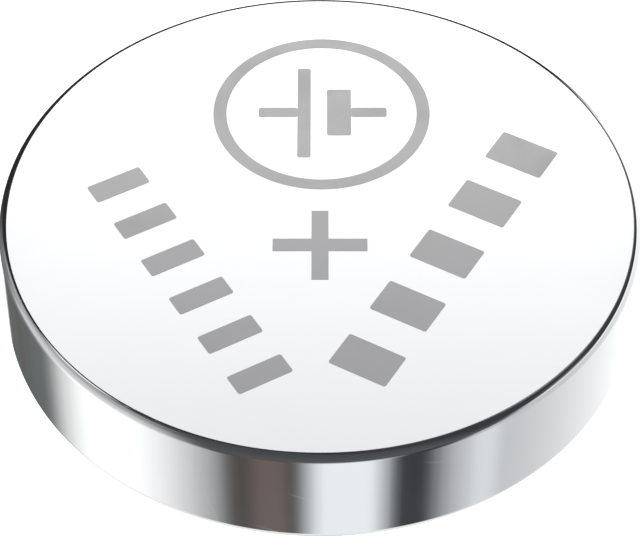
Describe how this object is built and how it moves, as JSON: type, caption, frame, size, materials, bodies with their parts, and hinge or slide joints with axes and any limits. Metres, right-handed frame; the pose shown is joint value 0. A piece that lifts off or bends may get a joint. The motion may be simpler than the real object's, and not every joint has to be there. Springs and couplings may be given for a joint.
{
  "type": "lithium coin cell",
  "caption": "Round sealed steel coin cell: a drawn positive can crimped over a plastic gasket and a stepped negative cap, lying positive face up.",
  "frame": {"origin": "middle of the negative contact face, on which the cell stands", "axes": "+Z along the cell's axis, out of the positive face; X and Y are alike, because the cell is round"},
  "size_m": [0.016, 0.016, 0.0032],
  "materials": {
    "can_steel": "polished, with very faint fine brushing on the face",
    "cap_steel": "satin",
    "gasket_plastic": "moulded, smooth",
    "lithium": "soft rolled metal, dull",
    "separator_cloth": "thin unwoven cloth",
    "pressed_powder": "pressed powder, matt",
    "grid_steel": "expanded metal, dull"
  },
  "bodies": {
    "root": {"positive_can": "can_steel", "negative_cap": "cap_steel", "sealing_gasket": "gasket_plastic", "lithium_anode": "lithium", "separator": "separator_cloth", "cathode_pellet": "pressed_powder", "collector_grid": "grid_steel"}
  },
  "joints": []
}
